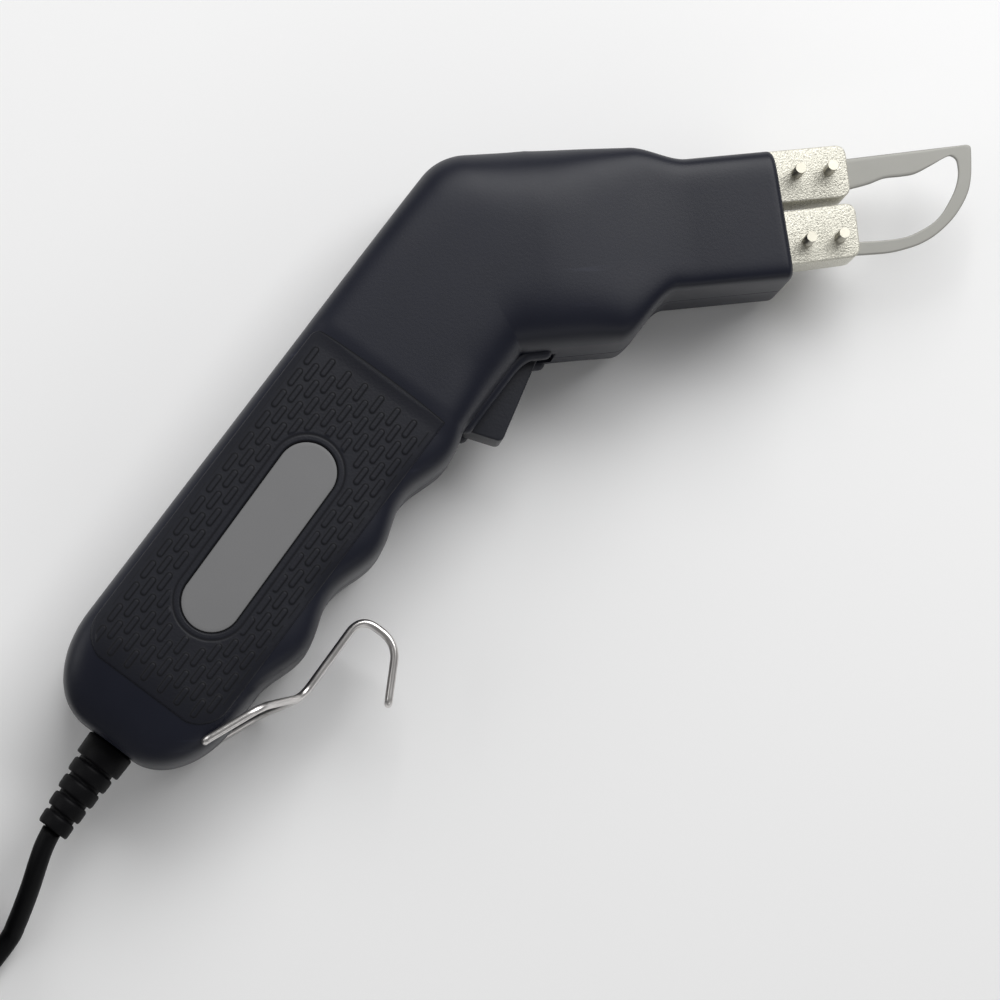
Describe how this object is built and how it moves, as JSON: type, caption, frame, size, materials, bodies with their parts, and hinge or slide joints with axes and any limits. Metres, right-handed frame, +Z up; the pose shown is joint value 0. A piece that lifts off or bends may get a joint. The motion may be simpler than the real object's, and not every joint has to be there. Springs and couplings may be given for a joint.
{
  "type": "electric hot knife",
  "caption": "Bent pistol-grip electric hot knife with a loop blade on electrode blocks, trigger switch, fold-out wire stand and mains cord, for cutting rope and foam.",
  "frame": {"origin": "middle of the tool's box without its cord, on the floor it lies on", "axes": "+X along the nose to the blade, +Y from the trigger side to the back of the head, +Z up from the right side of the casing to the left"},
  "size_m": [0.3752, 0.2285, 0.044],
  "materials": {
    "shell": "fine matte moulding, blue black",
    "pad": "matte grip with dashed ribs",
    "plate": "bare grey plate",
    "trigger": "matte moulding",
    "steel": "bright steel",
    "switch": "switch housing",
    "plunger": "switch plunger",
    "core": "varnished lamination stack",
    "bobbin": "heat resistant moulding",
    "copper": "bare copper",
    "casting": "rough sand blasted casting",
    "insulator": "pressed heat resistant board",
    "blade": "flat dull steel sheet",
    "zinc": "zinc plated steel",
    "wire": "polished spring wire",
    "rubber": "soft black cord jacket",
    "clamp": "moulded clamp",
    "brass": "plated brass",
    "live": "brown lead",
    "switched": "black lead",
    "neutral": "blue lead",
    "tie": "soft tie band",
    "plug": "moulded plug"
  },
  "bodies": {
    "casing": {"left_shell": "shell", "right_shell": "shell", "left_grip_pad": "pad", "right_grip_pad": "pad", "left_plate": "plate", "right_plate": "plate", "trigger_pin": "steel", "trigger_spring": "steel", "switch_body": "switch", "switch_tabs": "brass", "core_e_stack": "core", "core_i_stack": "core", "bobbin": "bobbin", "primary_winding": "copper", "secondary_strap": "copper", "upper_electrode": "casting", "lower_electrode": "casting", "nose_insulator": "insulator", "blade": "blade", "blade_screws": "zinc", "case_screws": "zinc", "strain_relief": "rubber", "cord_inner": "rubber", "cord_clamp": "clamp", "clamp_screws": "zinc", "live_lead": "live", "switched_lead": "switched", "neutral_lead": "neutral", "mains_cord": "rubber", "cord_coil": "rubber", "plug_lead": "rubber", "cord_tie": "tie", "plug_body": "plug", "plug_pins": "brass"},
    "trigger": {"trigger": "trigger"},
    "plunger": {"switch_plunger": "plunger"},
    "stand": {"wire_stand": "wire"}
  },
  "joints": [
    {"name": "trigger_pivot", "type": "hinge", "parent": "casing", "child": "trigger", "pos_m": [0.00303, 0.02558, 0.022], "axis": [0, 0, -1], "range_deg": [0, 10], "stiffness_Nm_per_rad": 0.8, "springref_deg": -5.73, "deforming": ["trigger_spring"]},
    {"name": "plunger_slide", "type": "slide", "parent": "casing", "child": "plunger", "axis": [-0.7314, 0.682, 0], "range_m": [0, 0.0035]},
    {"name": "stand_pivot", "type": "hinge", "parent": "casing", "child": "stand", "pos_m": [-0.09335, -0.07048, 0.022], "axis": [0, 0, 1], "range_deg": [-140, 0]}
  ],
  "couplings": [
    {"joint": "plunger_slide", "follows": "trigger_pivot", "m_per_rad": 0.0195}
  ]
}
